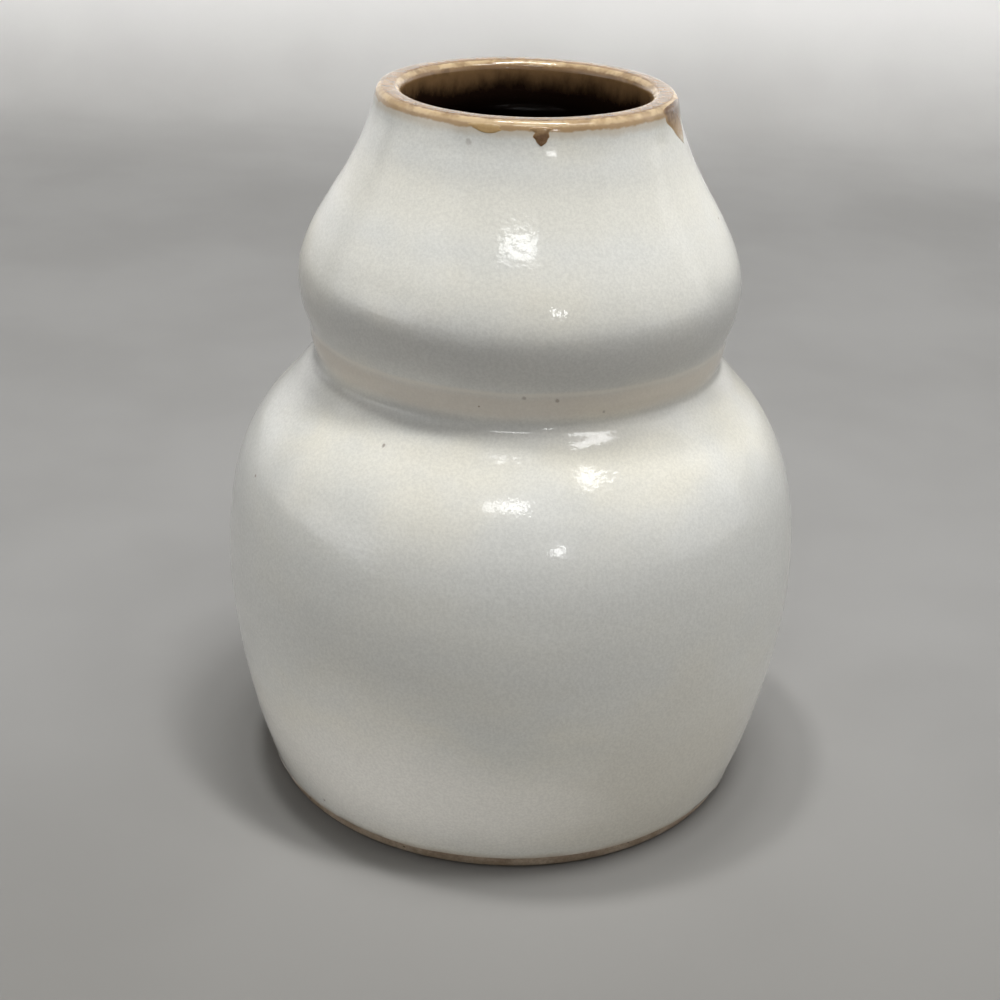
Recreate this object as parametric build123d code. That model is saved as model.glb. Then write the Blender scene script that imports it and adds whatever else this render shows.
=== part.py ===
import math
import os

from build123d import *

# A small hand-thrown stoneware vase in the shape of a double gourd: a squat belly, a tight waist
# with a soft clay roll in it, a smaller crown above and a neck that draws in to a plain lip.
# The clay is two thrown sections luted together at the waist. A pale glaze covers the outside
# down to a bare foot, a dark glaze lines the inside, and the two meet in a tan band over the lip.
# Millimetres, +Z up. The origin is the centre of the foot, on the surface that the vase stands on.

# Outside form, over the glaze
glaze_line_radius = 38.6
glaze_line_height = 2.6
belly_radius = 44.8
belly_height = 36.0
waist_radius = 30.6
waist_height = 70.0
crown_radius = 33.35
crown_above_waist = 11.8
mouth_radius = 22.0
lip_above_crown = 28.2
lip_lean = 11

# The clay roll smoothed into the waist
roll_height = 4.4
roll_step = 1.1
roll_bulge = 0.35
roll_depth = 2.2

# Walls, lip and floor, glaze included
belly_wall = 4.9
waist_wall = 6.6
crown_wall = 4.6
lip_thickness = 4.0
lip_outer_round = 1.3
lip_inner_round = 1.5
floor_thickness = 6.2
floor_dish = 0.7

# Turned foot
foot_ring_width = 6.5
foot_recess = 1.3
foot_recess_slope = 0.9
foot_edge_round = 1.8

# Glaze coats
outer_coat = 0.6
liner_coat = 0.5
tan_band_inside = 3.2

# The luted joint: the lower section ends in a short collar that the upper one sits round
collar_rise = 3.0
slip_thickness = 0.35

# Runs of dark glaze below the lip. Angles go round the vase from +X, and the lean is how far the
# end of a run has wandered sideways from its root.
run_thickness = 0.35
run_overlap = 0.3
front_drip_angle = -85.8
front_drip_width = 2.8
front_drip_length = 2.2
front_drip_lean = 0
side_run_angle = -16
side_run_width = 9.5
side_run_length = 6.4
side_run_lean = 2.2
left_smear_angle = -102
left_smear_width = 6.0
left_smear_length = 1.1
left_smear_lean = -0.6

# Where each line passes between its named ends: shares of the way across and of the way up
side_shares = [(0.34, 0.21), (0.70, 0.50)]
shoulder_shares = [(0.055, 0.315), (0.19, 0.54), (0.52, 0.77), (0.765, 0.885), (0.92, 0.957)]
under_crown_shares = [(0.64, 0.445)]
neck_shares = [(0.10, 0.195), (0.22, 0.305), (0.515, 0.515), (0.79, 0.73), (0.935, 0.885)]
inner_neck_shares = [(0.30, 0.22), (0.78, 0.62)]
inner_shoulder_shares = [(0.55, 0.735), (0.165, 0.505)]
heel_shares = [(0.90, 0.27), (0.68, 0.065)]
run_middle_share = 0.55
inset_steps = 16

crown_height = waist_height + crown_above_waist
vase_height = crown_height + lip_above_crown
lip_edge_height = vase_height - lip_outer_round
throat_radius = mouth_radius - lip_thickness
throat_height = vase_height - lip_inner_round
seam_height = waist_height + roll_height * 0.5
overrun = belly_radius * 2


def at(radius, height):
    """A point of the section, which is drawn on the half plane where X is the radius."""
    return Vector(radius, 0, height)


def between(start, end, shares):
    """Points on the way from start to end, each placed by its shares across and up."""
    return [
        at(start.X + across * (end.X - start.X), start.Z + up * (end.Z - start.Z))
        for across, up in shares
    ]


def into_clay(direction, depth):
    """A move square to a line and to its left, which is into the clay all the way round."""
    return Vector(-direction.Z, 0, direction.X).normalized() * depth


def inset(line, depth):
    """The same line, moved into the clay by depth."""
    stations = [step / inset_steps for step in range(inset_steps + 1)]
    moved = [line @ station + into_clay(line % station, depth) for station in stations]
    return Spline(*moved, tangents=[line % 0, line % 1])


def region(*lines):
    """The flat face that these lines enclose."""
    return make_face(Wire(list(lines)))


def spun(face):
    """The solid that a section sweeps out round the vase's axis."""
    return revolve(face, Axis.Z, 360)


def outside_lines():
    """The glazed outside, from the glaze line above the foot to the edge of the lip."""
    glaze_line = at(glaze_line_radius, glaze_line_height)
    belly = at(belly_radius, belly_height)
    waist = at(waist_radius, waist_height)
    roll_top = at(waist_radius + roll_step, waist_height + roll_height)
    crown = at(crown_radius, crown_height)
    lip_edge = at(mouth_radius, lip_edge_height)
    lean = math.radians(lip_lean)
    lower_points = [
        glaze_line,
        *between(glaze_line, belly, side_shares),
        belly,
        *between(belly, waist, shoulder_shares),
        waist,
    ]
    upper_points = [
        roll_top,
        *between(roll_top, crown, under_crown_shares),
        crown,
        *between(crown, lip_edge, neck_shares),
        lip_edge,
    ]
    out_of_foot = lower_points[1] - glaze_line
    out_of_roll = upper_points[1] - roll_top
    lower = Spline(*lower_points, tangents=[out_of_foot, (0, 0, 1)])
    upper = Spline(*upper_points, tangents=[out_of_roll, (-math.sin(lean), 0, math.cos(lean))])
    middle = (waist + roll_top) * 0.5
    roll = ThreePointArc(waist, middle - into_clay(roll_top - waist, roll_bulge), roll_top)
    return lower, roll, upper


def lip_lines(neck_direction):
    """Over the lip, from its outside edge to the end of the tan band down the throat."""
    outer_edge = at(mouth_radius, lip_edge_height)
    top_outside = at(mouth_radius - lip_outer_round, vase_height)
    top_inside = at(throat_radius + lip_inner_round, vase_height)
    throat_top = at(throat_radius, throat_height)
    band_end = at(throat_radius, throat_height - tan_band_inside)
    return (
        Spline(outer_edge, top_outside, tangents=[neck_direction, (-1, 0, 0)]),
        Line(top_outside, top_inside),
        TangentArc(top_inside, throat_top, tangent=(-1, 0, 0)),
        Line(throat_top, band_end),
    )


def inside_line():
    """The glazed inside, from the end of the tan band down to the middle of the floor."""
    band_end = at(throat_radius, throat_height - tan_band_inside)
    crown = at(crown_radius - crown_wall, crown_height)
    waist = at(waist_radius - waist_wall, seam_height)
    belly = at(belly_radius - belly_wall, belly_height)
    floor_middle = at(0, foot_recess + floor_thickness)
    floor_edge = at(0, floor_middle.Z + floor_dish)
    return Spline(
        band_end,
        *between(band_end, crown, inner_neck_shares),
        crown,
        waist,
        *between(belly, waist, inner_shoulder_shares),
        belly,
        *between(floor_edge, belly, heel_shares),
        floor_middle,
        tangents=[(0, 0, -1), (-1, 0, 0)],
    )


def foot_lines(glaze_end):
    """The bare clay, from the recess under the floor, round the foot ring, up to the glaze."""
    ring_outside = glaze_end.X - foot_edge_round
    ring_inside = ring_outside - foot_ring_width
    centre = at(0, foot_recess)
    recess_edge = at(ring_inside - foot_recess_slope, foot_recess)
    edge_bottom = at(ring_outside, 0)
    edge_top = at(glaze_end.X, foot_edge_round)
    return (
        Line(centre, recess_edge),
        Line(recess_edge, at(ring_inside, 0)),
        Line(at(ring_inside, 0), edge_bottom),
        TangentArc(edge_bottom, edge_top, tangent=(1, 0, 0)),
        Line(edge_top, glaze_end),
    )


def beyond_seam(step_radius, shift, far_height):
    """All that lies on one side of the stepped seam, which is moved up and out by shift."""
    base_height = seam_height + shift
    collar_height = base_height + collar_rise
    return make_face(
        Polyline(
            at(overrun, base_height),
            at(step_radius + shift, base_height),
            at(step_radius + shift, collar_height),
            at(0, collar_height),
            at(0, far_height),
            at(overrun, far_height),
            close=True,
        )
    )


def run_outline(width, length, lean):
    """The outline of a run of glaze: wide at the lip, drawn in, and round at its wandering end."""
    half = width * 0.5
    middle = half * run_middle_share
    left_root = (-half, run_overlap)
    right_root = (half, run_overlap)
    side = Spline(
        right_root,
        (lean * 0.5 + middle, -length * 0.5),
        (lean, -length),
        (lean * 0.5 - middle, -length * 0.5),
        left_root,
    )
    return region(Line(left_root, right_root), side)


def glaze_run(layer, angle, width, length, lean):
    """The part of a thin layer over the pale glaze that lies inside a run's outline."""
    outward = Vector(math.cos(math.radians(angle)), math.sin(math.radians(angle)), 0)
    face_on = Plane(
        origin=(0, 0, lip_edge_height), x_dir=(-outward.Y, outward.X, 0), z_dir=outward
    )
    cutter = extrude(face_on * run_outline(width, length, lean), amount=overrun)
    return layer & cutter


def build():
    """Every sub-part of the vase, by its node's name."""
    lower_face, roll_face, upper_face = outside_lines()
    lip_faces = lip_lines(upper_face % 1)
    inner_face = inside_line()

    lower_clay = inset(lower_face, outer_coat)
    upper_clay = inset(upper_face, outer_coat)
    lip_clay = [inset(line, outer_coat) for line in lip_faces]
    inner_clay = inset(inner_face, liner_coat)

    # The roll sits in a square groove in the waist, and the seam starts at the groove's back.
    groove_foot = lower_clay @ 1
    groove_head = upper_clay @ 0
    seat_radius = groove_foot.X - roll_depth
    seat_foot = at(seat_radius, groove_foot.Z)
    seat_head = at(seat_radius, groove_head.Z)
    roll_middle = roll_face @ 0.5 + into_clay(roll_face % 0.5, outer_coat)
    roll_clay = ThreePointArc(groove_foot, roll_middle, groove_head)
    waist_roll = region(
        Line(seat_foot, groove_foot),
        roll_clay,
        Line(groove_head, seat_head),
        Line(seat_head, seat_foot),
    )

    bare_foot = foot_lines(lower_clay @ 0)
    clay = region(
        *bare_foot,
        lower_clay,
        Line(groove_foot, seat_foot),
        Line(seat_foot, seat_head),
        Line(seat_head, groove_head),
        upper_clay,
        *lip_clay,
        Line(lip_clay[-1] @ 1, inner_clay @ 0),
        inner_clay,
        Line(inner_clay @ 1, bare_foot[0] @ 0),
    )
    step_radius = (seat_radius + waist_radius - waist_wall + liner_coat) * 0.5
    half_slip = slip_thickness * 0.5
    lower_section = clay & beyond_seam(step_radius, -half_slip, -overrun)
    upper_section = clay & beyond_seam(step_radius, half_slip, vase_height + overrun)
    luting_slip = clay - lower_section - upper_section

    outer_glaze = region(
        Line(lower_clay @ 0, lower_face @ 0),
        lower_face,
        roll_face,
        upper_face,
        Line(upper_face @ 1, upper_clay @ 1),
        upper_clay,
        roll_clay,
        lower_clay,
    )
    rim_glaze = region(
        Line(lip_clay[0] @ 0, lip_faces[0] @ 0),
        *lip_faces,
        Line(lip_faces[-1] @ 1, lip_clay[-1] @ 1),
        *lip_clay,
    )
    liner_glaze = region(
        Line(inner_clay @ 0, inner_face @ 0),
        inner_face,
        Line(inner_face @ 1, inner_clay @ 1),
        inner_clay,
    )

    # The runs are cut from a thin layer that lies on the pale glaze of the neck.
    layer_face = inset(upper_face, -run_thickness)
    layer = spun(
        region(
            upper_face,
            Line(upper_face @ 1, layer_face @ 1),
            layer_face,
            Line(layer_face @ 0, upper_face @ 0),
        )
    )
    front_drip = glaze_run(
        layer, front_drip_angle, front_drip_width, front_drip_length, front_drip_lean
    )
    side_run = glaze_run(layer, side_run_angle, side_run_width, side_run_length, side_run_lean)
    left_smear = glaze_run(
        layer, left_smear_angle, left_smear_width, left_smear_length, left_smear_lean
    )
    return {
        "lower_bulb": spun(lower_section),
        "upper_bulb": spun(upper_section),
        "luting_slip": spun(luting_slip),
        "waist_roll": spun(waist_roll),
        "outer_glaze": spun(outer_glaze),
        "rim_glaze": spun(rim_glaze),
        "liner_glaze": spun(liner_glaze),
        "front_drip": front_drip,
        "side_run": side_run,
        "left_smear": left_smear,
    }


os.makedirs("parts", exist_ok=True)
for name, solid in build().items():
    solid.label = name
    export_step(solid, f"parts/{name}.step")
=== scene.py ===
import math

import bmesh
import bpy
import numpy as np
from mathutils import Matrix, Vector
from mathutils.bvhtree import BVHTree


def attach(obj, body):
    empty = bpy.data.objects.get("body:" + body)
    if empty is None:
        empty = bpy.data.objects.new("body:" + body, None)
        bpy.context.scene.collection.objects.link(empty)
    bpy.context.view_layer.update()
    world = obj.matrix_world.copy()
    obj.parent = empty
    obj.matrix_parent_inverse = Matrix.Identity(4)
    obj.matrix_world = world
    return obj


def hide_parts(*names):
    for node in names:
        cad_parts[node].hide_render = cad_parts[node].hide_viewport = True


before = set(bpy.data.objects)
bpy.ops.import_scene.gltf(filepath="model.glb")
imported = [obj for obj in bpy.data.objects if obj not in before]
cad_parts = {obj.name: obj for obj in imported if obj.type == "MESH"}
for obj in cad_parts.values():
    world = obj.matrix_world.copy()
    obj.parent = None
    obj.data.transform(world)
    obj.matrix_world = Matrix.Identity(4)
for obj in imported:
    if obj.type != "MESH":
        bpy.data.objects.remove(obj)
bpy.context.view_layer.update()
mm = 0.001

# The vase as it came off the wheel and out of the kiln: lengths in metres, angles in degrees
# round the vase from +X.
steps_round = 256
ring_pitch = 5.6 * mm
ring_depth = 0.008 * mm
wobble_size = 26 * mm
wobble_depth = 0.22 * mm
ripple_size = 6.5 * mm
ripple_depth = 0.03 * mm
hem_wander = 0.35 * mm
hem_reach = 1.5 * mm
calm_centre = 4 * mm
same_point = 0.001 * mm

# The coat's corners soften below the lip, and its points stand closer round it.
glaze_melt = 0.9 * mm
melt_below, melt_grows = 103 * mm, 6 * mm
lip_above = 105 * mm
lip_gap, coat_gap, lining_gap, foot_gap = 0.19 * mm, 0.55 * mm, 0.7 * mm, 0.28 * mm
foot_corner = 0.3 * mm

# Runs of iron glaze from the lip: name, slot, thickness in mm, how much iron the root, the middle
# and the tip hold, and the outline as (way down from the lip's crest in mm, left and right angle)
runs = [
    (
        "front_drip",
        "brown_run",
        0.13,
        (0.45, 0.90, 0.75),
        [
            (1.9, -89.2, -80.6),
            (2.3, -88.8, -81.0),
            (2.7, -87.0, -81.6),
            (3.3, -87.3, -81.4),
            (3.9, -86.2, -82.5),
            (4.5, -85.0, -83.9),
        ],
    ),
    (
        "side_run",
        "brown_run",
        0.13,
        (1.0, 0.52, 0.08),
        [
            (1.3, -32.5, -5.0),
            (2.1, -31.5, -6.0),
            (3.1, -28.5, -7.0),
            (4.2, -25.5, -8.0),
            (5.4, -22.0, -9.5),
            (6.6, -18.5, -11.0),
            (7.6, -15.5, -12.5),
        ],
    ),
    (
        "left_smear",
        "amber_run",
        0.07,
        (0.10, 0.60, 0.45),
        [
            (1.8, -109.5, -99.0),
            (2.2, -111.0, -98.0),
            (2.7, -108.5, -98.6),
            (3.1, -105.5, -100.5),
        ],
    ),
]

# Single iron specks: place in mm, size in mm, and how strongly they show
marks = [
    ((-7.7, -21.2, 106.8), 0.60, 0.35),
    ((-18.1, -29.1, 65.4), 0.34, 0.75),
    ((1.2, -32.1, 74.3), 0.40, 0.55),
    ((5.8, -31.4, 73.9), 0.40, 0.60),
    ((12.2, -28.3, 71.5), 0.32, 0.50),
]
speck_brown = (0.24, 0.20, 0.165)

# Tints of the pale glaze. The last three are painted tones: shade is painted shade under the crown
# and in the waist crease, partly a greyer pool of glaze; the next is painted shade across the
# belly; the last is painted light low on the belly.
grey, cream, blue = (0.735, 0.733, 0.688), (0.775, 0.75, 0.655), (0.66, 0.668, 0.638)
shade, painted_belly_shade, painted_low_light = (0.50, 0.495, 0.475), (0.62, 0.622, 0.595), (0.86, 0.84, 0.78)

# Bands round the glaze coat: middle height, half width, softness, wander and the size of the
# wander in mm, how strongly they show, and their tint
broad_bands = [
    (98.5, 3.4, 2.6, 3.0, 24.0, 0.55, cream),
    (88.5, 3.2, 3.0, 3.0, 24.0, 0.30, cream),
    # painted shade under the crown's overhang, partly a greyer pool of glaze there
    (79.5, 4.4, 3.0, 3.0, 24.0, 0.80, shade),
    # painted shade in the waist crease, where the crown's shadow falls
    (69.0, 1.7, 1.2, 3.0, 24.0, 0.50, shade),
    # painted shade across the middle of the belly
    (44.0, 13.0, 8.0, 3.0, 24.0, 0.72, painted_belly_shade),
    # painted light low on the belly
    (13.0, 7.0, 5.0, 3.0, 24.0, 0.85, painted_low_light),
]
thin_bands = [
    (72.8, 1.9, 1.1, 0.7, 9.0, 0.55, (0.62, 0.54, 0.45)),
    # painted highlight along the top edge of the waist ridge
    (74.8, 0.28, 0.26, 0.25, 9.0, 0.55, (0.74, 0.70, 0.62)),
    (1.2, 1.7, 1.0, 0.9, 6.0, 0.8, (0.44, 0.36, 0.26)),
]

# Patches low on the belly: a warmer, darker patch on the right, partly a warm tint of the glaze and
# partly painted shade, and a lighter patch on the left that is painted light; place and reach in
# mm, how strongly it shows, and the tint
tint_and_painted_light_patches = [
    # partly a warm glaze tint, partly painted shade on the lower right
    ((27.0, -33.0, 12.0), 38.0, 0.9, (0.66, 0.635, 0.56)),
    # painted light on the lower left
    ((-17.0, -38.0, 14.0), 32.0, 0.7, (0.93, 0.91, 0.85)),
]

# The room: its tone where it is seen, and the tone that it lights with
room_tone = (0.55, 0.545, 0.54)
room_light = (0.03, 0.03, 0.03)

# Lamps: name, angle round the vase, climb, distance, width, height and watts, and for one of them
# the place that it faces and the angle of its beam
lamps = [
    ("ceiling lamp", -37, 75, 1.05, 0.09, 0.24, 4.8),
    ("left ceiling lamp", -171, 81, 1.05, 0.10, 0.10, 3.5),
    ("overhead lamp", 0, 89, 1.05, 0.16, 0.16, 2.2),
    ("front ceiling panel", -93, 48, 1.0, 0.28, 0.085, 0.75),
    ("right ceiling panel", -33, 56.5, 1.0, 0.30, 0.13, 1.05),
    ("wall lamp", -90, 40, 0.50, 1.8, 0.06, 1.45, (0.0, 0.48, 0.13), 46),
    ("low window", -71, 20, 1.0, 0.085, 0.085, 0.30),
    ("left wall panel", -176, 22, 1.5, 2.4, 1.5, 6.4),
    ("left low panel", -160, 6, 1.2, 0.7, 0.3, 0.6),
    ("right rear panel", 26, 28, 0.85, 0.5, 0.6, 0.6),
    ("right wall panel", 12, 22, 1.5, 2.4, 1.5, 5.6),
]


# Sections of the CAD solids, and runs of points on them


def section_of(node):
    """The outline of a turned CAD solid in the half plane y = 0, as (radius, height) in order."""
    cut = bmesh.new()
    cut.from_mesh(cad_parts[node].data)
    bmesh.ops.remove_doubles(cut, verts=cut.verts, dist=same_point)
    everything = cut.verts[:] + cut.edges[:] + cut.faces[:]
    bmesh.ops.bisect_plane(
        cut, geom=everything, dist=same_point, plane_co=(0, 0, 0), plane_no=(0, 1, 0)
    )
    bmesh.ops.remove_doubles(cut, verts=cut.verts, dist=same_point)
    cut.verts.ensure_lookup_table()
    on_plane = {v.index for v in cut.verts if abs(v.co.y) < same_point and v.co.x > -same_point}
    neighbours = {index: [] for index in on_plane}
    for edge in cut.edges:
        first, second = edge.verts[0].index, edge.verts[1].index
        if first in on_plane and second in on_plane:
            neighbours[first].append(second)
            neighbours[second].append(first)
    ends = [index for index, near in neighbours.items() if len(near) == 1]
    start = min(ends or on_plane, key=lambda index: cut.verts[index].co.z)
    order, seen = [start], {start}
    while True:
        ahead = [index for index in neighbours[order[-1]] if index not in seen]
        if not ahead:
            break
        order.append(ahead[0])
        seen.add(ahead[0])
    points = [(max(cut.verts[i].co.x, 0.0), cut.verts[i].co.z) for i in order]
    cut.free()
    if ends and points[0][0] > same_point:
        points.insert(0, (0.0, points[0][1]))
    if ends and points[-1][0] > same_point:
        points.append((0.0, points[-1][1]))
    return np.array(points)


def turned_to(points, index):
    """The same closed outline, begun at another of its points."""
    return np.roll(points, -index, axis=0)


def split_between(points, start, end):
    """A closed outline as the two runs that join two of its points, each from start to end."""
    outline = turned_to(points, start)
    reach = (end - start) % len(points)
    there = outline[: reach + 1]
    back = np.vstack([outline[reach:], outline[:1]])[::-1]
    return there, back


def travel(points):
    """The length along a run of points, at each of them."""
    return np.concatenate([[0.0], np.cumsum(np.hypot(*np.diff(points, axis=0).T))])


def eased(points, gap):
    """A smooth run through the points, with one every gap."""
    along = travel(points)
    keep = np.concatenate([[True], np.diff(along) > same_point])
    points, along = points[keep], along[keep]
    slopes = np.gradient(points, along, axis=0)
    fine = np.linspace(0.0, along[-1], max(int(round(along[-1] / gap)), 2) + 1)
    place = np.clip(np.searchsorted(along, fine, side="right") - 1, 0, len(along) - 2)
    width = (along[place + 1] - along[place])[:, None]
    t = (fine - along[place])[:, None] / width
    return (
        (2 * t**3 - 3 * t**2 + 1) * points[place]
        + (t**3 - 2 * t**2 + t) * width * slopes[place]
        + (3 * t**2 - 2 * t**3) * points[place + 1]
        + (t**3 - t**2) * width * slopes[place + 1]
    )


def spaced(points, gap):
    """Points every gap along straight runs."""
    along = travel(points)
    fine = np.linspace(0.0, along[-1], max(int(round(along[-1] / gap)), 2) + 1)
    return np.stack([np.interp(fine, along, points[:, axis]) for axis in (0, 1)], 1)


def melted(points, reach, share):
    """The run with its corners softened over a length, by a share of 0 to 1 at each point."""
    gap = travel(points)[-1] / (len(points) - 1)
    soft = points.copy()
    for _ in range(int(2 * (reach / gap) ** 2)):
        middle = soft[1:-1] * 0.5 + (soft[:-2] + soft[2:]) * 0.25
        soft[1:-1] += (middle - soft[1:-1]) * share[1:-1, None]
    return soft


def thinned(points, gaps):
    """The run with only as many points as the gap wanted at each place needs."""
    along = travel(points)
    kept, last = [0], 0.0
    for number in range(1, len(points) - 1):
        if along[number] - last >= gaps[number]:
            kept.append(number)
            last = along[number]
    return points[kept + [len(points) - 1]]


def outward(points):
    """The direction out of the surface at each point of a run that has the clay on its left."""
    along = np.gradient(points, axis=0)
    along /= np.maximum(np.hypot(*along.T), 1e-12)[:, None]
    return np.stack([along[:, 1], -along[:, 0]], 1)


def section_mesh(name, face, back, past_lip, skin, hem):
    """A section as a mesh of points, for the wheel: the face that shows, then its hidden side,
    then the first point once more, so that the body closes."""
    loop = np.vstack([face, back, face[:1]])
    hidden = len(back)
    skin = skin * np.clip(face[:, 0] / calm_centre, 0.0, 1.0)
    half_way = np.arange(hidden) < hidden / 2
    lip_behind = np.where(half_way, past_lip[-1], past_lip[0])

    def all_round(values, behind):
        return np.concatenate([values, np.broadcast_to(behind, hidden), values[:1]])

    facing = np.zeros((len(loop), 3))
    facing[: len(face), 0::2] = outward(face)
    facing[-1] = facing[0]
    mesh = bpy.data.meshes.new(name)
    mesh.from_pydata([(r, 0.0, z) for r, z in loop], [], [])
    for label, kind, values in (
        ("facing", "FLOAT_VECTOR", facing),
        ("skin", "FLOAT", all_round(skin, 0.0)),
        ("past_lip", "FLOAT", all_round(past_lip, lip_behind)),
        ("hem", "FLOAT", all_round(hem, 0.0)),
    ):
        made = mesh.attributes.new(label, kind, "POINT")
        made.data.foreach_set("vector" if kind == "FLOAT_VECTOR" else "value", values.ravel())
    return mesh


# Node trees, and the wheel


def add(tree, kind, feeds=None, **settings):
    """One more node in a tree, with its options set and its inputs filled or linked."""
    made = tree.nodes.new(kind)
    for option, value in settings.items():
        setattr(made, option, value)
    for socket, value in (feeds or {}).items():
        if isinstance(value, bpy.types.NodeSocket):
            tree.links.new(value, made.inputs[socket])
        else:
            made.inputs[socket].default_value = value
    return made


def calc(tree, operation, first, second=0.0, third=0.0, clamp=False):
    """One sum on numbers, as the socket that holds its answer."""
    feeds = {0: first, 1: second, 2: third}
    return add(tree, "ShaderNodeMath", feeds, operation=operation, use_clamp=clamp).outputs[0]


def aim(tree, operation, first, second=(0.0, 0.0, 0.0)):
    """One sum on directions or places."""
    return add(tree, "ShaderNodeVectorMath", {0: first, 1: second}, operation=operation).outputs[0]


def scaled(tree, vector, amount):
    """A direction or place times a number."""
    made = add(tree, "ShaderNodeVectorMath", {"Vector": vector, "Scale": amount}, operation="SCALE")
    return made.outputs[0]


def sockets(tree, takes, gives):
    """Gives a tree its named inputs and outputs."""
    for name, kind, value in takes:
        socket = tree.interface.new_socket(name, in_out="INPUT", socket_type=kind)
        if value is not None:
            socket.default_value = value
    for name, kind in gives:
        tree.interface.new_socket(name, in_out="OUTPUT", socket_type=kind)
    return tree.nodes.new("NodeGroupInput").outputs, tree.nodes.new("NodeGroupOutput").inputs


def make_wheel():
    """The wheel: spins a section into a closed body, with the marks that throwing leaves."""
    tree = bpy.data.node_groups.new("wheel", "GeometryNodeTree")
    number, whole = "NodeSocketFloat", "NodeSocketInt"
    takes, gives = sockets(
        tree,
        [
            ("Section", "NodeSocketGeometry", None),
            ("Steps Round", whole, 256),
            ("Ring Pitch", number, 5 * mm),
            ("Ring Depth", number, 0.0),
            ("Wobble Size", number, 20 * mm),
            ("Wobble Depth", number, 0.0),
            ("Ripple Size", number, 5 * mm),
            ("Ripple Depth", number, 0.0),
            ("Hem Wander", number, 0.0),
            ("Seed", number, 0.0),
            ("Clay", "NodeSocketMaterial", None),
        ],
        [("Body", "NodeSocketGeometry")],
    )
    count = add(tree, "GeometryNodeAttributeDomainSize", {"Geometry": takes["Section"]})
    rows = count.outputs["Point Count"]
    columns = calc(tree, "ADD", takes["Steps Round"], 1)
    grid = add(tree, "GeometryNodeMeshGrid", {"Vertices X": columns, "Vertices Y": rows})
    index = add(tree, "GeometryNodeInputIndex").outputs[0]
    row = calc(tree, "MODULO", index, rows)
    column = calc(tree, "FLOOR", calc(tree, "DIVIDE", index, rows))
    turn = calc(tree, "MULTIPLY", calc(tree, "DIVIDE", column, takes["Steps Round"]), math.tau)

    def looked_up(value, kind):
        found = add(
            tree,
            "GeometryNodeSampleIndex",
            {"Geometry": takes["Section"], "Index": row},
            data_type=kind,
            domain="POINT",
        )
        tree.links.new(value, found.inputs["Value"])
        return found.outputs["Value"]

    def written(name, kind):
        feeds = {"Name": name}
        field = add(tree, "GeometryNodeInputNamedAttribute", feeds, data_type=kind)
        return looked_up(field.outputs["Attribute"], kind)

    def spun(vector):
        parts = add(tree, "ShaderNodeSeparateXYZ", {0: vector}).outputs
        across = calc(tree, "MULTIPLY", parts[0], calc(tree, "COSINE", turn))
        away = calc(tree, "MULTIPLY", parts[0], calc(tree, "SINE", turn))
        return add(tree, "ShaderNodeCombineXYZ", {0: across, 1: away, 2: parts[2]}).outputs[0]

    def lumps(place, size, seed):
        shrunk = scaled(tree, place, calc(tree, "DIVIDE", 1.0, size))
        noise = add(
            tree,
            "ShaderNodeTexNoise",
            {"Vector": shrunk, "W": seed, "Scale": 1.0, "Detail": 1.0, "Roughness": 0.4},
            noise_dimensions="4D",
        )
        return calc(tree, "MULTIPLY_ADD", noise.outputs[0], 2.0, -1.0)

    still = looked_up(add(tree, "GeometryNodeInputPosition").outputs[0], "FLOAT_VECTOR")
    place = spun(still)
    facing = spun(written("facing", "FLOAT_VECTOR"))
    past_lip = written("past_lip", "FLOAT")
    climb = calc(tree, "MULTIPLY", calc(tree, "DIVIDE", past_lip, takes["Ring Pitch"]), math.tau)
    rings = calc(tree, "SINE", calc(tree, "ADD", climb, turn))
    relief = calc(tree, "MULTIPLY", rings, takes["Ring Depth"])
    wobble = lumps(place, takes["Wobble Size"], takes["Seed"])
    relief = calc(tree, "MULTIPLY_ADD", wobble, takes["Wobble Depth"], relief)
    ripple = lumps(place, takes["Ripple Size"], calc(tree, "ADD", takes["Seed"], 7.0))
    relief = calc(tree, "MULTIPLY_ADD", ripple, takes["Ripple Depth"], relief)
    relief = calc(tree, "MULTIPLY", relief, written("skin", "FLOAT"))
    moved = aim(tree, "ADD", place, scaled(tree, facing, relief))
    wander = calc(tree, "MULTIPLY", written("hem", "FLOAT"), takes["Hem Wander"])
    wander = calc(tree, "MULTIPLY", lumps(place, 7 * mm, 3.0), wander)
    lifted = add(tree, "ShaderNodeCombineXYZ", {2: wander}).outputs[0]
    moved = aim(tree, "ADD", moved, lifted)
    body = add(
        tree,
        "GeometryNodeSetPosition",
        {"Geometry": grid.outputs["Mesh"], "Position": moved},
    ).outputs[0]
    body = add(
        tree,
        "GeometryNodeStoreNamedAttribute",
        {"Geometry": body, "Name": "past_lip", "Value": past_lip},
        data_type="FLOAT",
        domain="POINT",
    ).outputs[0]
    body = add(
        tree, "GeometryNodeMergeByDistance", {"Geometry": body, "Distance": same_point}
    ).outputs[0]
    body = add(tree, "GeometryNodeSetShadeSmooth", {"Geometry": body}).outputs[0]
    body = add(tree, "GeometryNodeRealizeInstances", {"Geometry": body}).outputs[0]
    body = add(
        tree, "GeometryNodeSetMaterial", {"Geometry": body, "Material": takes["Clay"]}
    ).outputs[0]
    tree.links.new(body, gives["Body"])
    return tree


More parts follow.
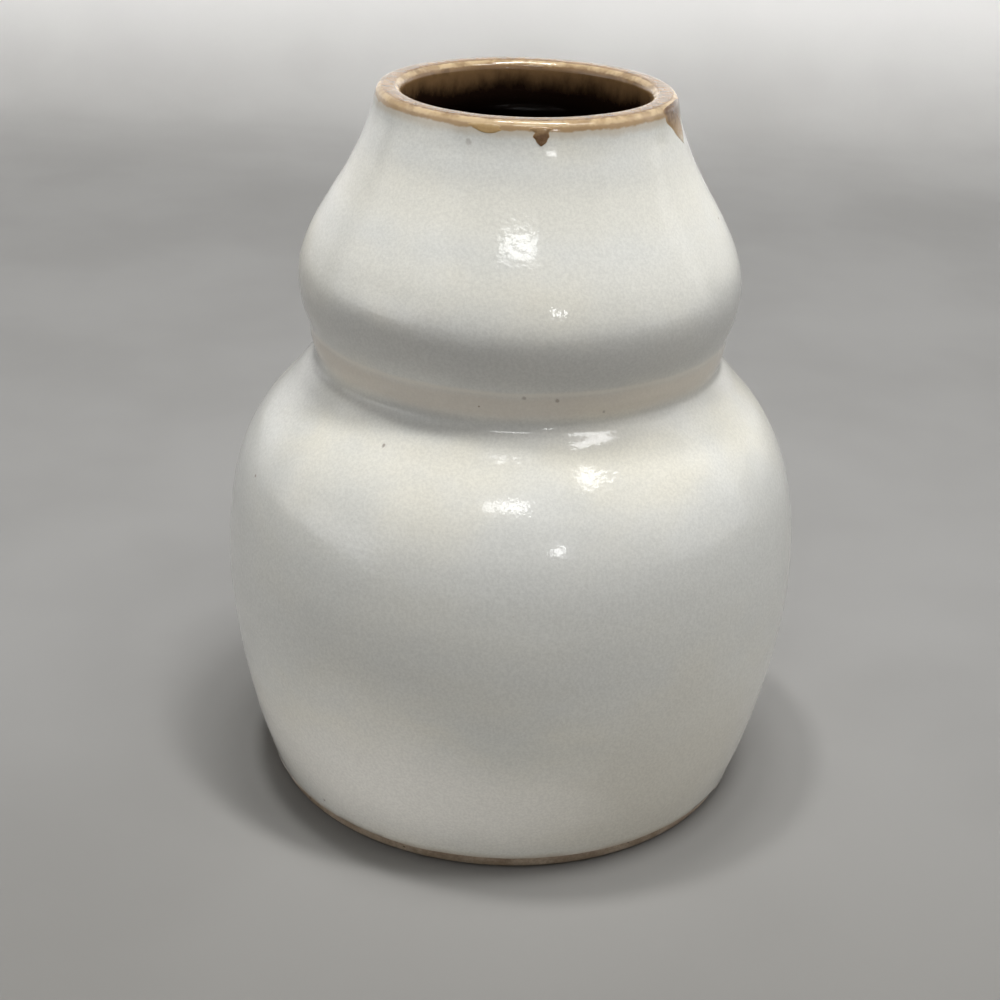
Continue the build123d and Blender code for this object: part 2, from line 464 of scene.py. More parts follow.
def thrown(name, section, wheel, material, settings):
    """A body spun on the wheel from a section, as a plain closed mesh."""
    piece = bpy.data.objects.new(name, section)
    bpy.context.scene.collection.objects.link(piece)
    spin = piece.modifiers.new("wheel", "NODES")
    spin.node_group = wheel
    sized = {
        item.name: item.identifier
        for item in wheel.interface.items_tree
        if item.item_type == "SOCKET" and item.in_out == "INPUT"
    }
    for label, value in {"Clay": material, **settings}.items():
        spin[sized[label]] = value
    ready = piece.evaluated_get(bpy.context.evaluated_depsgraph_get())
    body = bpy.data.meshes.new_from_object(ready)
    piece.modifiers.clear()
    piece.data = body
    body.name = name
    tidy = bmesh.new()
    tidy.from_mesh(body)
    bmesh.ops.dissolve_degenerate(tidy, dist=same_point, edges=tidy.edges[:])
    slivers = [face for face in tidy.faces if face.calc_area() < same_point**2]
    bmesh.ops.delete(tidy, geom=slivers, context="FACES")
    loose = [edge for edge in tidy.edges if not edge.link_faces]
    bmesh.ops.delete(tidy, geom=loose, context="EDGES")
    bmesh.ops.recalc_face_normals(tidy, faces=tidy.faces[:])
    tidy.to_mesh(body)
    tidy.free()
    body.set_sharp_from_angle(angle=math.radians(50))
    return piece


# Finishes


def new_group(name, takes, gives):
    """A shader group with its named inputs and outputs."""
    tree = bpy.data.node_groups.new(name, "ShaderNodeTree")
    return (tree, *sockets(tree, takes, gives))


def noise_in(tree, place, size, detail=2.0, roughness=0.5, seed=0.0, stretch=None):
    """Cloudy noise with lumps of a size in metres, from 0 to 1."""
    if stretch:
        place = aim(tree, "MULTIPLY", place, stretch)
    shifted = aim(tree, "ADD", place, (seed * 0.137, seed * 0.071, seed * 0.043))
    feeds = {"Vector": shifted, "Scale": 1.0 / size, "Detail": detail, "Roughness": roughness}
    return add(tree, "ShaderNodeTexNoise", feeds, noise_dimensions="3D").outputs[0]


def spread(tree, value, low, high, to_low=0.0, to_high=1.0):
    """A number's range moved to another, softly and with its ends held."""
    feeds = {"Value": value, "From Min": low, "From Max": high, "To Min": to_low, "To Max": to_high}
    made = add(tree, "ShaderNodeMapRange", feeds, interpolation_type="SMOOTHSTEP")
    return made.outputs[0]


def blended(tree, share, first, second, how="MIX"):
    """Two colours mixed by a share."""
    made = add(tree, "ShaderNodeMix", data_type="RGBA", blend_type=how)
    for slot, value in ((0, share), (6, first), (7, second)):
        if isinstance(value, bpy.types.NodeSocket):
            tree.links.new(value, made.inputs[slot])
        else:
            made.inputs[slot].default_value = value if slot == 0 else (*value[:3], 1.0)
    return made.outputs[2]


def make_band():
    """A band round the vase at a height, with soft edges that wander."""
    number = "NodeSocketFloat"
    tree, takes, gives = new_group(
        "band round the vase",
        [
            ("Place", "NodeSocketVector", None),
            ("Middle", number, 0.0),
            ("Half Width", number, 2 * mm),
            ("Softness", number, 1 * mm),
            ("Wander", number, 0.5 * mm),
            ("Wander Size", number, 8 * mm),
        ],
        [("Mask", number)],
    )
    height = add(tree, "ShaderNodeSeparateXYZ", {0: takes["Place"]}).outputs[2]
    shrunk = scaled(tree, takes["Place"], calc(tree, "DIVIDE", 1.0, takes["Wander Size"]))
    feeds = {"Vector": shrunk, "Scale": 1.0, "Detail": 3.0}
    noise = add(tree, "ShaderNodeTexNoise", feeds).outputs[0]
    shift = calc(tree, "MULTIPLY", calc(tree, "MULTIPLY_ADD", noise, 2.0, -1.0), takes["Wander"])
    apart = calc(tree, "SUBTRACT", calc(tree, "ADD", height, shift), takes["Middle"])
    apart = calc(tree, "ABSOLUTE", apart)
    inner = calc(tree, "SUBTRACT", takes["Half Width"], takes["Softness"])
    outer = calc(tree, "ADD", takes["Half Width"], takes["Softness"])
    mask = spread(tree, apart, inner, outer, 1.0, 0.0)
    tree.links.new(mask, gives["Mask"])
    return tree


def make_specks():
    """Specks of iron: round dots of mixed size, sprinkled thinly through the surface."""
    number = "NodeSocketFloat"
    tree, takes, gives = new_group(
        "iron specks",
        [
            ("Place", "NodeSocketVector", None),
            ("Spacing", number, 4 * mm),
            ("Size", number, 0.2 * mm),
            ("Share", number, 0.3),
        ],
        [("Mask", number)],
    )
    cells = scaled(tree, takes["Place"], calc(tree, "DIVIDE", 1.0, takes["Spacing"]))
    found = add(tree, "ShaderNodeTexVoronoi", {"Vector": cells, "Scale": 1.0, "Randomness": 1.0})
    chance = add(tree, "ShaderNodeSeparateColor", {0: found.outputs["Color"]}).outputs
    kept = calc(tree, "LESS_THAN", chance[0], takes["Share"])
    reach = calc(tree, "DIVIDE", takes["Size"], takes["Spacing"])
    reach = calc(tree, "MULTIPLY", reach, calc(tree, "MULTIPLY_ADD", chance[1], 0.9, 0.35))
    near = calc(tree, "DIVIDE", found.outputs["Distance"], reach)
    mask = calc(tree, "MULTIPLY", spread(tree, near, 0.5, 1.15, 1.0, 0.0), kept)
    tree.links.new(mask, gives["Mask"])
    return tree


def make_one_speck():
    """A single speck near the surface, seen as a ragged dot."""
    number, vector = "NodeSocketFloat", "NodeSocketVector"
    tree, takes, gives = new_group(
        "one speck",
        [("Place", vector, None), ("Spot", vector, None), ("Size", number, 0.4 * mm)],
        [("Mask", number)],
    )
    apart = aim(tree, "SUBTRACT", takes["Place"], takes["Spot"])
    inward = aim(tree, "PROJECT", apart, aim(tree, "MULTIPLY", takes["Spot"], (1.0, 1.0, 0.0)))
    apart = aim(tree, "SUBTRACT", apart, scaled(tree, inward, 0.85))
    off = add(tree, "ShaderNodeVectorMath", {0: apart}, operation="LENGTH").outputs["Value"]
    off = calc(tree, "DIVIDE", off, takes["Size"])
    off = calc(tree, "MULTIPLY_ADD", noise_in(tree, takes["Place"], 0.4 * mm), 0.8, off)
    tree.links.new(spread(tree, off, 0.75, 1.45, 1.0, 0.0), gives["Mask"])
    return tree


def make_glaze_skin():
    """The skin of a glaze that has melted over coarse clay: soft orange peel with a fine grain."""
    number = "NodeSocketFloat"
    tree, takes, gives = new_group(
        "glaze skin",
        [
            ("Place", "NodeSocketVector", None),
            ("Peel Size", number, 1.3 * mm),
            ("Grain Size", number, 0.35 * mm),
            ("Grain", number, 0.25),
        ],
        [("Height", number)],
    )
    shrunk = scaled(tree, takes["Place"], calc(tree, "DIVIDE", 1.0, takes["Peel Size"]))
    feeds = {"Vector": shrunk, "Scale": 1.0, "Detail": 2.0}
    peel = add(tree, "ShaderNodeTexNoise", feeds).outputs[0]
    shrunk = scaled(tree, takes["Place"], calc(tree, "DIVIDE", 1.0, takes["Grain Size"]))
    feeds = {"Vector": shrunk, "Scale": 1.0, "Detail": 1.0}
    grain = add(tree, "ShaderNodeTexNoise", feeds).outputs[0]
    height = calc(tree, "MULTIPLY_ADD", grain, takes["Grain"], peel)
    tree.links.new(height, gives["Height"])
    return tree


def make_lip_break():
    """Where the pale glaze thins over the lip to tan, and darkens to brown and black inside."""
    number, colour = "NodeSocketFloat", "NodeSocketColor"
    tree, takes, gives = new_group(
        "break over the lip",
        [("Place", "NodeSocketVector", None), ("Past Lip", number, 0.0), ("Pale", colour, None)],
        [("Colour", colour)],
    )
    place = takes["Place"]
    wander = noise_in(tree, place, 5 * mm, 3.0, 0.6, 1.0)
    fine = noise_in(tree, place, 0.9 * mm, 2.0, 0.6, 2.0)
    shift = calc(tree, "MULTIPLY_ADD", wander, 1.5 * mm, -0.75 * mm)
    shift = calc(tree, "MULTIPLY_ADD", fine, 0.35 * mm, shift)
    past = calc(tree, "ADD", takes["Past Lip"], shift)
    mottle = spread(tree, noise_in(tree, place, 2.2 * mm, 3.0, 0.65, 4.0), 0.35, 0.7)
    tan = blended(tree, mottle, (0.30, 0.18, 0.078), (0.17, 0.096, 0.040))
    side = spread(tree, takes["Past Lip"], -1.7 * mm, -1.2 * mm, 1.0, 0.0)
    tan = blended(tree, calc(tree, "MULTIPLY", side, 0.6), tan, (0.50, 0.34, 0.18))
    # A lighter tan line round the lip's outer and inner corners: partly the glaze thinning over the
    # corners, partly a painted highlight where the corners catch the light.
    ring = calc(tree, "ABSOLUTE", calc(tree, "SUBTRACT", takes["Past Lip"], 0.1 * mm))
    thin = calc(tree, "MULTIPLY_ADD", fine, 0.5 * mm, calc(tree, "SUBTRACT", ring, 1.8 * mm))
    pale_corner_and_painted_highlight = spread(tree, calc(tree, "ABSOLUTE", thin), 0.3 * mm, 0.65 * mm, 1.0, 0.0)
    patchy = spread(tree, noise_in(tree, place, 3.2 * mm, 3.0, 0.65, 11.0), 0.42, 0.62, 0.95, 0.35)
    tan = blended(tree, calc(tree, "MULTIPLY", pale_corner_and_painted_highlight, patchy), tan, (0.62, 0.46, 0.27))
    edge = spread(tree, past, -3.9 * mm, -2.5 * mm)
    edged = blended(tree, calc(tree, "MULTIPLY", edge, 0.8), takes["Pale"], (0.52, 0.45, 0.35))
    over = spread(tree, past, -2.55 * mm, -2.2 * mm)
    lip = blended(tree, over, edged, tan)
    streaks = noise_in(tree, place, 2.0 * mm, 4.0, 0.65, 6.0, (1.0, 1.0, 0.45))
    sag = noise_in(tree, place, 7 * mm, 2.0, 0.5, 9.0)
    depth = calc(tree, "MULTIPLY_ADD", streaks, 3.0 * mm, calc(tree, "SUBTRACT", past, 1.5 * mm))
    depth = calc(tree, "MULTIPLY_ADD", sag, -3.0 * mm, calc(tree, "ADD", depth, 1.5 * mm))
    brown = spread(tree, depth, 1.7 * mm, 3.6 * mm)
    lined = blended(tree, brown, lip, (0.25, 0.145, 0.066))
    dark = spread(tree, depth, 3.0 * mm, 6.6 * mm)
    lined = blended(tree, dark, lined, (0.018, 0.009, 0.0055))
    tree.links.new(lined, gives["Colour"])
    return tree


def empty_material(name):
    """A new material with its shader, and the object's own coordinates to draw patterns by."""
    material = bpy.data.materials.new(name)
    material.use_nodes = True
    tree = material.node_tree
    shader = tree.nodes["Principled BSDF"]
    place = add(tree, "ShaderNodeTexCoord").outputs["Object"]
    return material, tree, shader, place


def use(tree, group, feeds):
    """One of the shared effects, placed in a material with its own values."""
    made = tree.nodes.new("ShaderNodeGroup")
    made.node_tree = group
    for socket, value in feeds.items():
        if isinstance(value, bpy.types.NodeSocket):
            tree.links.new(value, made.inputs[socket])
        else:
            made.inputs[socket].default_value = value
    return made.outputs


def bumped(tree, shader, height, strength, distance):
    """Gives a shader a fine relief."""
    feeds = {"Height": height, "Strength": strength, "Distance": distance}
    tree.links.new(add(tree, "ShaderNodeBump", feeds).outputs[0], shader.inputs["Normal"])


def banded(tree, band, place, colour, bands):
    """A colour tinted in bands round the vase."""
    for middle, half, soft, wander, size, share, tint in bands:
        feeds = {
            "Place": place,
            "Middle": middle * mm,
            "Half Width": half * mm,
            "Softness": soft * mm,
            "Wander": wander * mm,
            "Wander Size": size * mm,
        }
        mask = use(tree, band, feeds)["Mask"]
        colour = blended(tree, calc(tree, "MULTIPLY", mask, share), colour, tint)
    return colour


def make_coat(band, specks, one_speck, skin, lip_break):
    """The pale glaze over the outside, thinning to tan over the lip and at the waist."""
    material, tree, shader, place = empty_material("pale glaze coat")
    past = add(tree, "ShaderNodeAttribute", attribute_name="past_lip").outputs["Fac"]
    clouds = spread(tree, noise_in(tree, place, 34 * mm, 3.0, 0.55, 1.0, (1, 1, 1.7)), 0.42, 0.66)
    colour = blended(tree, clouds, grey, cream)
    pools = spread(tree, noise_in(tree, place, 22 * mm, 3.0, 0.5, 3.0, (1, 1, 1.4)), 0.48, 0.72)
    colour = blended(tree, calc(tree, "MULTIPLY", pools, 0.6), colour, blue)
    # The broad bands paint shade under the crown, in the waist crease and across the belly, and
    # paint light low on the belly.
    colour = banded(tree, band, place, colour, broad_bands)
    ragged = calc(tree, "MULTIPLY", noise_in(tree, place, 14 * mm, 3.0, 0.55, 7.0), 16 * mm)
    # Patches low on the belly: partly a glaze tint, partly painted shade and painted light.
    for spot, reach, share, tint in tint_and_painted_light_patches:
        apart = aim(tree, "SUBTRACT", place, [value * mm for value in spot])
        off = add(tree, "ShaderNodeVectorMath", {0: apart}, operation="LENGTH").outputs["Value"]
        off = calc(tree, "ADD", off, ragged)
        tint_and_painted_light_patch = spread(tree, off, 0.35 * reach * mm, reach * mm, share, 0.0)
        colour = blended(tree, tint_and_painted_light_patch, colour, tint)
    grain = noise_in(tree, place, 0.42 * mm, 2.0, 0.7, 5.0)
    grain = spread(tree, grain, 0.3, 0.7, 0.93, 1.04)
    dusted = add(tree, "ShaderNodeCombineColor", {0: grain, 1: grain, 2: grain}).outputs[0]
    colour = blended(tree, 1.0, colour, dusted, "MULTIPLY")
    # The thin bands include a painted highlight along the top edge of the waist ridge.
    colour = banded(tree, band, place, colour, thin_bands)
    dots = use(
        tree, specks, {"Place": place, "Spacing": 5.5 * mm, "Size": 0.26 * mm, "Share": 0.22}
    )["Mask"]
    colour = blended(tree, calc(tree, "MULTIPLY", dots, 0.7), colour, (0.20, 0.13, 0.08))
    for spot, size, share in marks:
        feeds = {"Place": place, "Spot": [value * mm for value in spot], "Size": size * mm}
        mask = calc(tree, "MULTIPLY", use(tree, one_speck, feeds)["Mask"], share)
        colour = blended(tree, mask, colour, speck_brown)
    colour = use(tree, lip_break, {"Place": place, "Past Lip": past, "Pale": colour})["Colour"]
    tree.links.new(colour, shader.inputs["Base Color"])
    gloss = spread(tree, noise_in(tree, place, 9 * mm, 2.0, 0.5, 8.0), 0.3, 0.7, 0.06, 0.11)
    tree.links.new(gloss, shader.inputs["Roughness"])
    shader.inputs["IOR"].default_value = 1.5
    feeds = {"Place": place, "Peel Size": 0.9 * mm, "Grain Size": 0.3 * mm, "Grain": 0.22}
    bumped(tree, shader, use(tree, skin, feeds)["Height"], 0.6, 0.05 * mm)
    return material


def make_lining(skin, lip_break):
    """The dark glaze inside, streaked where it runs down from the lip."""
    material, tree, shader, place = empty_material("dark glaze lining")
    past = add(tree, "ShaderNodeAttribute", attribute_name="past_lip").outputs["Fac"]
    feeds = {"Place": place, "Past Lip": past, "Pale": (0.6, 0.45, 0.3, 1.0)}
    colour = use(tree, lip_break, feeds)["Colour"]
    tree.links.new(colour, shader.inputs["Base Color"])
    gloss = spread(tree, noise_in(tree, place, 5 * mm, 2.0, 0.5, 8.0), 0.3, 0.7, 0.10, 0.22)
    tree.links.new(gloss, shader.inputs["Roughness"])
    bumped(tree, shader, use(tree, skin, {"Place": place})["Height"], 0.4, 0.06 * mm)
    return material


def make_clay(name, light, dark, specks, rough):
    """Bare fired clay: gritty, speckled and dry."""
    material, tree, shader, place = empty_material(name)
    patches = spread(tree, noise_in(tree, place, 7 * mm, 4.0, 0.6, 2.0), 0.35, 0.68)
    colour = blended(tree, patches, light, dark)
    grit = spread(tree, noise_in(tree, place, 0.45 * mm, 2.0, 0.7, 5.0), 0.3, 0.7, 0.82, 1.1)
    dusted = add(tree, "ShaderNodeCombineColor", {0: grit, 1: grit, 2: grit}).outputs[0]
    colour = blended(tree, 1.0, colour, dusted, "MULTIPLY")
    dots = use(
        tree, specks, {"Place": place, "Spacing": 1.9 * mm, "Size": 0.3 * mm, "Share": 0.5}
    )["Mask"]
    colour = blended(tree, calc(tree, "MULTIPLY", dots, 0.8), colour, (0.06, 0.035, 0.02))
    tree.links.new(colour, shader.inputs["Base Color"])
    dry = noise_in(tree, place, 3 * mm, 2.0, 0.5, 8.0)
    dry = spread(tree, dry, 0.3, 0.7, rough - 0.08, rough + 0.08)
    tree.links.new(dry, shader.inputs["Roughness"])
    height = noise_in(tree, place, 0.5 * mm, 4.0, 0.7, 9.0)
    bumped(tree, shader, height, 0.5, 0.12 * mm)
    return material


def make_run_glaze(name, thick, thin, faint, skin):
    """A run of iron glaze: dark where it holds much iron, amber then cream where it thins out."""
    material, tree, shader, place = empty_material(name)
    iron = add(tree, "ShaderNodeAttribute", attribute_name="iron").outputs["Fac"]
    patchy = noise_in(tree, place, 0.7 * mm, 3.0, 0.6, 2.0)
    patchy = calc(tree, "MULTIPLY_ADD", patchy, 0.5, calc(tree, "SUBTRACT", iron, 0.25))
    colour = blended(tree, spread(tree, patchy, 0.02, 0.42), faint, thin)
    colour = blended(tree, spread(tree, patchy, 0.38, 0.98), colour, thick)
    tree.links.new(colour, shader.inputs["Base Color"])
    gloss = spread(tree, noise_in(tree, place, 2 * mm, 2.0, 0.5, 8.0), 0.3, 0.7, 0.08, 0.16)
    tree.links.new(gloss, shader.inputs["Roughness"])
    bumped(tree, shader, use(tree, skin, {"Place": place})["Height"], 0.3, 0.04 * mm)
    return material


# The vase

band, specks, one_speck, skin = make_band(), make_specks(), make_one_speck(), make_glaze_skin()
lip_break = make_lip_break()
coat_glaze = make_coat(band, specks, one_speck, skin, lip_break)
lining_glaze = make_lining(skin, lip_break)
bare_clay = make_clay("bare stoneware", (0.44, 0.35, 0.26), (0.30, 0.22, 0.15), specks, 0.72)
slip_clay = make_clay("fired slip", (0.42, 0.33, 0.25), (0.33, 0.25, 0.18), specks, 0.78)
brown_glaze = make_run_glaze(
    "brown run", (0.115, 0.052, 0.017), (0.43, 0.28, 0.135), (0.70, 0.65, 0.52), skin
)
amber_glaze = make_run_glaze(
    "amber run", (0.32, 0.16, 0.045), (0.49, 0.33, 0.145), (0.60, 0.45, 0.27), skin
)
wheel = make_wheel()

throwing = {
    "Steps Round": steps_round,
    "Ring Pitch": ring_pitch,
    "Ring Depth": ring_depth,
    "Wobble Size": wobble_size,
    "Wobble Depth": wobble_depth,
    "Ripple Size": ripple_size,
    "Ripple Depth": ripple_depth,
    "Hem Wander": hem_wander,
    "Seed": 4.0,
}

# The coat, from the hem over the foot to the inner edge of the lip
outer = section_of("outer_glaze")
face, behind = split_between(outer, int(outer[:, 1].argmin()), int(outer[:, 1].argmax()))
if face[:, 0].mean() < behind[:, 0].mean():
    face, behind = behind, face
rim = section_of("rim_glaze")
over, under = split_between(rim, int(rim[:, 0].argmax()), int(rim.sum(1).argmin()))
if over[:, 1].mean() < under[:, 1].mean():
    over, under = under, over
coat_face = eased(np.vstack([face, over[1:]]), 0.2 * mm)
below_lip = np.clip((melt_below - coat_face[:, 1]) / melt_grows, 0.0, 1.0)
below_lip *= np.clip(travel(coat_face) / (3 * mm), 0.0, 1.0)
coat_face = melted(coat_face, glaze_melt, below_lip)
coat_face = thinned(coat_face, np.where(coat_face[:, 1] > lip_above, lip_gap, coat_gap))
coat_back = np.vstack([under[::-1][1:-1], behind[::-1][1:]])
crest = travel(coat_face)
top = coat_face[:, 1] > coat_face[:, 1].max() - 0.01 * mm
crest -= crest[top].mean()
hem = np.clip(1.0 - (coat_face[:, 1] - coat_face[0, 1]) / hem_reach, 0.0, 1.0)
section = section_mesh("coat section", coat_face, coat_back, crest, np.ones(len(crest)), hem)
coat = thrown("glaze_coat", section, wheel, coat_glaze, throwing)

# The lining, from the lip down to the middle of the floor inside
inside = section_of("liner_glaze")
if inside[0, 1] > inside[-1, 1]:
    inside = inside[::-1]
throat = int((inside[:, 1] - inside[:, 0]).argmax())
lining_face = eased(inside[throat:], lining_gap)
lining_back = inside[:throat]
crest_in = travel(lining_face) + crest[-1]
plain = np.zeros(len(crest_in))
section = section_mesh("lining section", lining_face, lining_back, crest_in, plain + 1.0, plain)
lining = thrown("glaze_lining", section, wheel, lining_glaze, {**throwing, "Steps Round": 192})

# The lower bulb's clay, which shows bare on the turned foot under the hem of the coat
lower = section_of("lower_bulb")
if lower[0, 1] > lower[-1, 1]:
    lower = lower[::-1]
hem_height = behind[1, 1]
foot_end = int(np.argmax((lower[:, 0] > 0.8 * lower[:, 0].max()) & (lower[:, 1] > hem_height)))
foot_face = spaced(lower[: foot_end + 1], foot_gap)
foot_face = melted(foot_face, foot_corner, np.ones(len(foot_face)))
turned = travel(foot_face)
skin_share = np.clip((hem_height - foot_face[:, 1]) / hem_reach, 0.0, 1.0)
skin_share *= np.clip(foot_face[:, 1] / (0.4 * mm), 0.0, 1.0)
section = section_mesh(
    "clay section", foot_face, lower[foot_end + 1 :], turned, skin_share, np.zeros(len(turned))
)
turning = {
    **throwing,
    "Ring Pitch": 1.5 * mm,
    "Ring Depth": 0.05 * mm,
    "Wobble Depth": 0.1 * mm,
    "Ripple Size": 2.2 * mm,
    "Hem Wander": 0.0,
}
clay = thrown("turned_clay", section, wheel, bare_clay, turning)

coat_skin = BVHTree.FromObject(coat, bpy.context.evaluated_depsgraph_get())
coat_facing = outward(coat_face)


def on_coat(angle, past):
    """A place on the glaze coat and the way out of it, by its angle and its way past the lip."""
    radius = np.interp(past, crest, coat_face[:, 0])
    height = np.interp(past, crest, coat_face[:, 1])
    out = np.interp(past, crest, coat_facing[:, 0])
    up = np.interp(past, crest, coat_facing[:, 1])
    across, away = math.cos(angle), math.sin(angle)
    found = coat_skin.find_nearest(Vector((radius * across, radius * away, height)))[0]
    return found, Vector((out * across, out * away, up)).normalized()


def run_of_glaze(name, thickness, iron, outline, material, seed):
    """A run that has set on the coat: a thin domed bead within an outline, with its iron."""
    along_count, across_count = 44, 24
    root_share, tip_share = 0.12, 0.20
    sunk, narrowest, lip_radius = 0.04 * mm, 0.004 * mm, 22 * mm
    outline = np.array(outline)
    rows, irons = [], []
    for step in range(along_count + 1):
        share = step / along_count
        down = outline[0, 0] + share * (outline[-1, 0] - outline[0, 0])
        left = math.radians(np.interp(down, outline[:, 0], outline[:, 1]))
        right = math.radians(np.interp(down, outline[:, 0], outline[:, 2]))
        tip = math.sqrt(max(1.0 - max((share - 1.0 + tip_share) / tip_share, 0.0) ** 2, 0.0))
        start = math.sqrt(max(1.0 - max((root_share - share) / root_share, 0.0) ** 2, 0.0))
        half = 0.5 * (right - left)
        middle = 0.5 * (right + left) + 0.05 * half * math.sin(share * 9.0 + seed)
        half *= tip * start * (1.0 + 0.06 * math.sin(share * 17.0 + 2.0 * seed))
        half += narrowest / lip_radius
        fat = thickness * tip * start
        rich = np.interp(share, (0.0, 0.5, 1.0), iron)
        front, back, amount = [], [], []
        for place in range(across_count + 1):
            side = 2.0 * place / across_count - 1.0
            point, out = on_coat(middle + side * half, -down * mm)
            dome = math.sqrt(max(1.0 - side * side, 0.0))
            front.append(point + out * (fat * dome - sunk * abs(side) ** 3))
            back.append(point - out * (sunk * 3.0))
            amount.append(rich * min(1.0, 1.6 * dome) * min(1.0, 1.5 * tip * start))
        rows.append(front + back[::-1])
        irons.append(amount + amount[::-1])
    ring = len(rows[0])
    faces = []
    for first in range(0, along_count * ring, ring):
        for place in range(ring):
            corners = (first + place, first + (place + 1) % ring)
            faces.append((*corners, corners[1] + ring, corners[0] + ring))
    faces.append(tuple(range(ring))[::-1])
    faces.append(tuple(range(along_count * ring, (along_count + 1) * ring)))
    mesh = bpy.data.meshes.new(name)
    mesh.from_pydata([tuple(point) for row in rows for point in row], [], faces)
    made = mesh.attributes.new("iron", "FLOAT", "POINT")
    made.data.foreach_set("value", np.array(irons, np.float32).ravel())
    tidy = bmesh.new()
    tidy.from_mesh(mesh)
    bmesh.ops.recalc_face_normals(tidy, faces=tidy.faces[:])
    tidy.to_mesh(mesh)
    tidy.free()
    mesh.polygons.foreach_set("use_smooth", [True] * len(mesh.polygons))
    mesh.set_sharp_from_angle(angle=math.radians(60))
    mesh.materials.append(material)
    piece = bpy.data.objects.new(name, mesh)
    bpy.context.scene.collection.objects.link(piece)
    return piece


for seed, (node, slot, thickness, iron, outline) in enumerate(runs):
    glaze = brown_glaze if slot == "brown_run" else amber_glaze
    piece = run_of_glaze(node + "_glaze", thickness * mm, iron, outline, glaze, seed)
    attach(piece, "root")
    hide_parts(node)

for piece, nodes, slot in (
    (coat, ("outer_glaze", "rim_glaze"), "pale_glaze"),
    (lining, ("liner_glaze",), "dark_glaze"),
    (clay, ("lower_bulb",), "stoneware"),
):
    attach(piece, "root")
    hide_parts(*nodes)

for node, material in (
    ("upper_bulb", bare_clay),
    ("waist_roll", bare_clay),
    ("luting_slip", slip_clay),
):
    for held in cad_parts[node].material_slots:
        held.material = material


# The room, its lamps and the camera


def hang_lamp(name, angle, climb, away, width, height, watts, faced=(0.0, 0.0, 0.06), beam=180):
    """A soft rectangular lamp that faces a place, by its angle round it, its climb and distance."""
    lamp = bpy.data.lights.new(name, "AREA")
    lamp.shape = "RECTANGLE"
    lamp.size, lamp.size_y = width, height
    lamp.energy = watts
    lamp.spread = math.radians(beam)
    angle, climb = math.radians(angle), math.radians(climb)
    level = math.cos(climb)
    aim_at = Vector((level * math.cos(angle), level * math.sin(angle), math.sin(climb)))
    held = bpy.data.objects.new(name, lamp)
    held.location = aim_at * away + Vector(faced)
    held.rotation_euler = aim_at.to_track_quat("Z", "Y").to_euler()
    bpy.context.scene.collection.objects.link(held)


def seen_directly(tree):
    """1 for what the camera, a gloss or glass sees, and 0 for what only lights other things."""
    path = add(tree, "ShaderNodeLightPath").outputs
    seen = calc(tree, "MAXIMUM", path["Is Camera Ray"], path["Is Glossy Ray"])
    return calc(tree, "MAXIMUM", seen, path["Is Transmission Ray"])


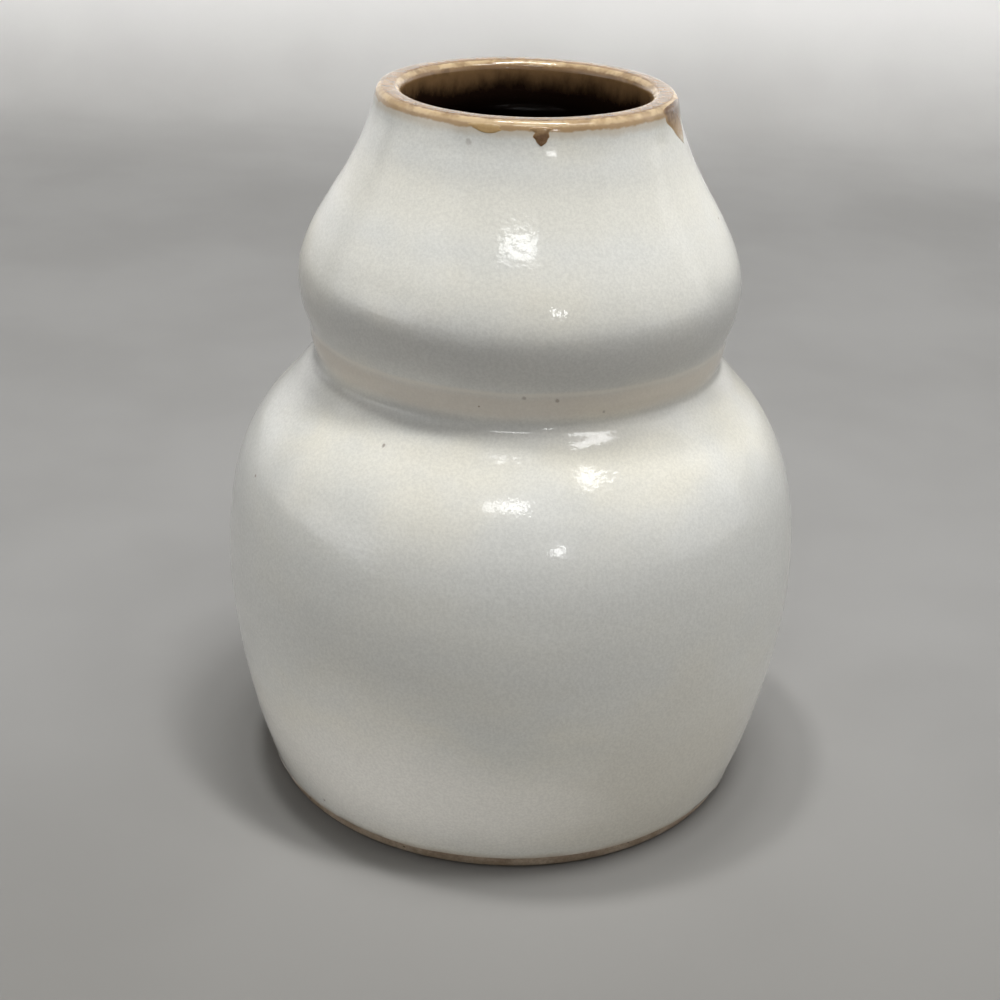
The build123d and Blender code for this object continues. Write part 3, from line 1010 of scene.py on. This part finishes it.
def lay_floor():
    """The plain pale floor, with a soft sweep up behind the vase, fading far off to the room."""
    near_edge, half_width, top = -3.0, 4.0, 0.75
    bend, back, steps = 0.06, 0.42, 24
    black = (0.0, 0.0, 0.0)
    sweep = [(near_edge, 0.0), (back, 0.0)]
    for step in range(1, steps + 1):
        turn = math.radians(90 * step / steps)
        sweep.append((back + bend * math.sin(turn), bend - bend * math.cos(turn)))
    sweep.append((back + bend, top))
    points = [(side, y, z) for y, z in sweep for side in (-half_width, half_width)]
    faces = [(2 * i, 2 * i + 1, 2 * i + 3, 2 * i + 2) for i in range(len(sweep) - 1)]
    mesh = bpy.data.meshes.new("floor")
    mesh.from_pydata(points, [], faces)
    mesh.polygons.foreach_set("use_smooth", [True] * len(mesh.polygons))
    floor = bpy.data.objects.new("floor", mesh)
    bpy.context.scene.collection.objects.link(floor)
    material, tree, shader, place = empty_material("pale floor")
    cloud = spread(tree, noise_in(tree, place, 60 * mm, 3.0, 0.5, 1.0), 0.3, 0.7)
    pale = blended(tree, cloud, (0.30, 0.295, 0.285), (0.33, 0.325, 0.315))
    _, behind, height = add(tree, "ShaderNodeSeparateXYZ", {0: place}).outputs
    pale = blended(tree, spread(tree, height, 0.0, 0.1), pale, (0.75, 0.745, 0.735))
    # Painted shade: the floor is darker in front of the vase.
    front = spread(tree, behind, -0.16, 0.05, 1.0, 0.0)
    pale = blended(tree, front, pale, (0.212, 0.204, 0.188))
    bounce = blended(tree, spread(tree, height, 0.0, 0.04), (0.45, 0.44, 0.425), (0.2, 0.2, 0.2))
    level = aim(tree, "MULTIPLY", place, (1.0, 1.0, 0.0))
    off = add(tree, "ShaderNodeVectorMath", {0: level}, operation="LENGTH").outputs["Value"]
    far = spread(tree, off, 0.55, 1.5)
    pale = blended(tree, far, pale, black)
    seen = seen_directly(tree)
    colour = blended(tree, seen, bounce, pale)
    tree.links.new(colour, shader.inputs["Base Color"])
    haze = blended(tree, calc(tree, "MULTIPLY", far, seen), black, room_tone)
    tree.links.new(haze, shader.inputs["Emission Color"])
    shader.inputs["Emission Strength"].default_value = 1.0
    shader.inputs["Roughness"].default_value = 0.9
    shader.inputs["Specular IOR Level"].default_value = 0.1
    mesh.materials.append(material)


def light_room():
    """An even pale room, seen a little brighter than it lights."""
    world = bpy.data.worlds.new("room")
    world.use_nodes = True
    tree = world.node_tree
    back = tree.nodes["Background"]
    colour = blended(tree, seen_directly(tree), room_light, room_tone)
    tree.links.new(colour, back.inputs["Color"])
    back.inputs["Strength"].default_value = 1.0
    bpy.context.scene.world = world


def stand_camera():
    """The camera where the photograph was taken from, found from the vase's outline."""
    roll, pan, tilt = 0.03461, 0.007046, 0.43900
    aside = Vector((math.cos(pan), math.sin(pan), 0.0))
    level = Vector((-math.sin(pan), math.cos(pan), 0.0))
    ahead = level * math.cos(tilt) - Vector((0.0, 0.0, math.sin(tilt)))
    above = level * math.sin(tilt) + Vector((0.0, 0.0, math.cos(tilt)))
    right = aside * math.cos(roll) + above * math.sin(roll)
    upward = above * math.cos(roll) - aside * math.sin(roll)
    lens = bpy.data.cameras.new("camera")
    lens.sensor_width = 36.0
    lens.lens = 65.207
    camera = bpy.data.objects.new("camera", lens)
    camera.matrix_world = Matrix(
        (
            (right.x, upward.x, -ahead.x, 0.0),
            (right.y, upward.y, -ahead.y, -262.04 * mm),
            (right.z, upward.z, -ahead.z, 166.94 * mm),
            (0.0, 0.0, 0.0, 1.0),
        )
    )
    bpy.context.scene.collection.objects.link(camera)
    bpy.context.scene.camera = camera


lay_floor()
light_room()
stand_camera()
for lamp in lamps:
    hang_lamp(*lamp)
bpy.context.scene.view_settings.view_transform = "Standard"
